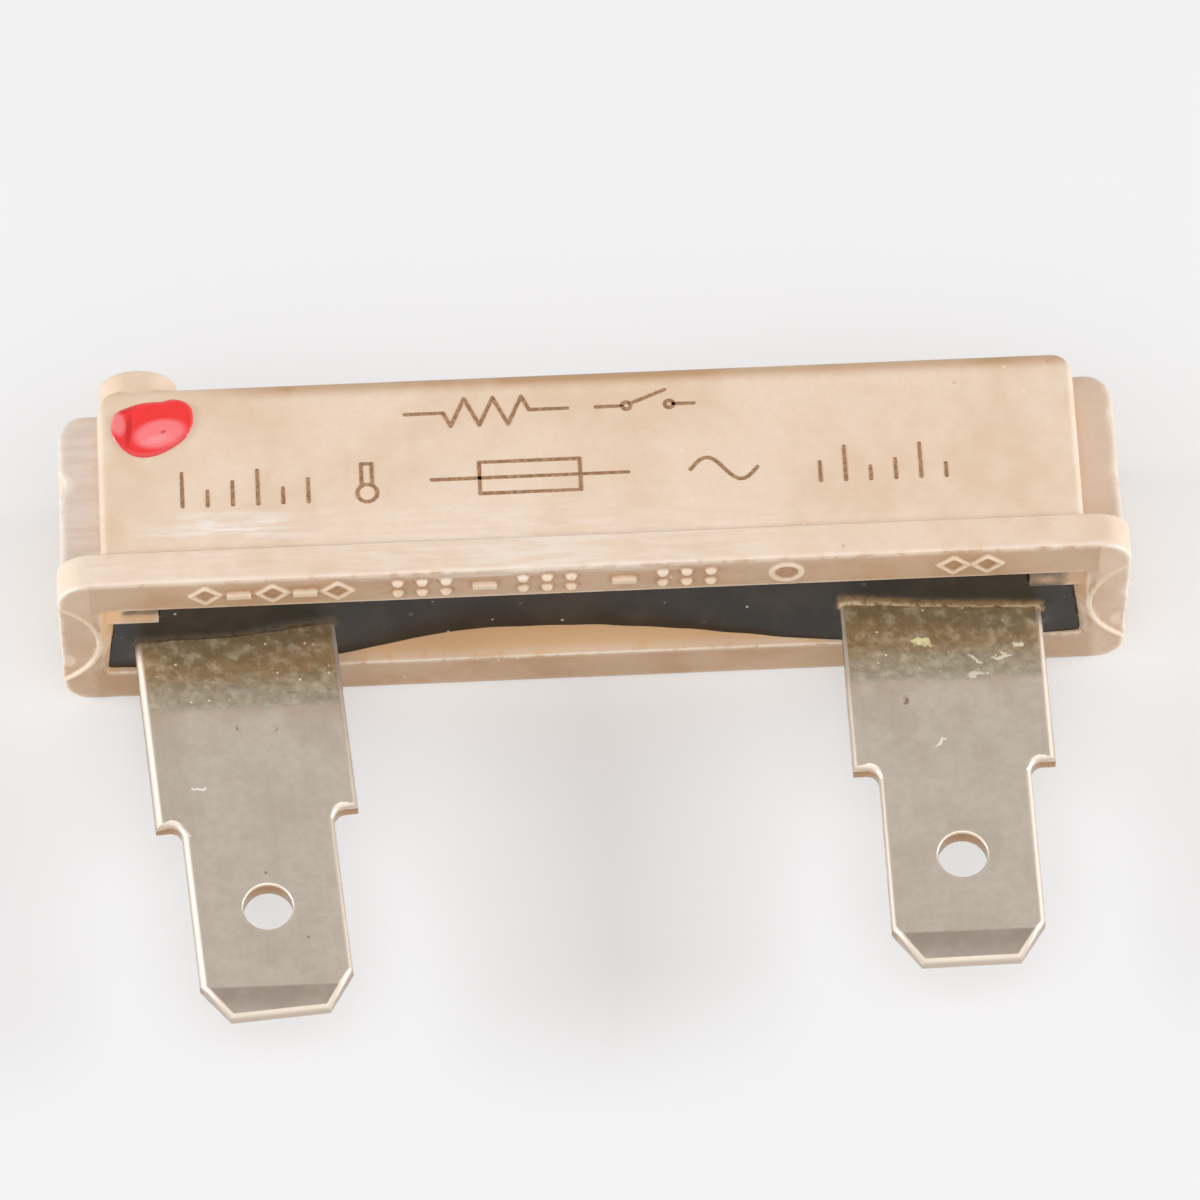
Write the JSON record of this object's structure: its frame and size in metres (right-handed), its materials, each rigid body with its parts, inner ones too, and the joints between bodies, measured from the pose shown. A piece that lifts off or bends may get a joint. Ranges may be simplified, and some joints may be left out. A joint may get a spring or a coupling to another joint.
{
  "type": "potted thermal fuse",
  "caption": "Potted thermal fuse: a flanged tan block with end rails, its mouth filled with black epoxy, from which quick-connect tabs stand out.",
  "frame": {"origin": "centre of the flange's back face, where the fuse seats in its bracket", "axes": "+X along the housing, +Y from the front mouth to the back wall, +Z out of the marked face; the tabs point to -Y"},
  "size_m": [0.0448, 0.028, 0.0096],
  "materials": {
    "thermoset": "satin mineral-filled thermoset",
    "epoxy": "cast, slightly dusty",
    "tin_plate": "satin tin plate on brass",
    "plated_case": "silver plate on brass",
    "lead_wire": "tinned copper wire",
    "ceramic": "unglazed",
    "seal": "cured resin",
    "spring_wire": "drawn wire",
    "disc": "blanked sheet",
    "pellet": "pressed organic compound",
    "lacquer": "thick glossy lacquer"
  },
  "bodies": {
    "root": {"housing": "thermoset", "potting": "epoxy", "terminal_left": "tin_plate", "terminal_right": "tin_plate", "cutoff_case": "plated_case", "case_lead": "lead_wire", "isolated_lead": "lead_wire", "ceramic_bushing": "ceramic", "seal_resin": "seal", "star_contact": "plated_case", "trip_spring": "spring_wire", "compression_spring": "spring_wire", "pellet_disc": "disc", "contact_disc": "disc", "thermal_pellet": "pellet", "paint_dot": "lacquer"}
  },
  "joints": []
}
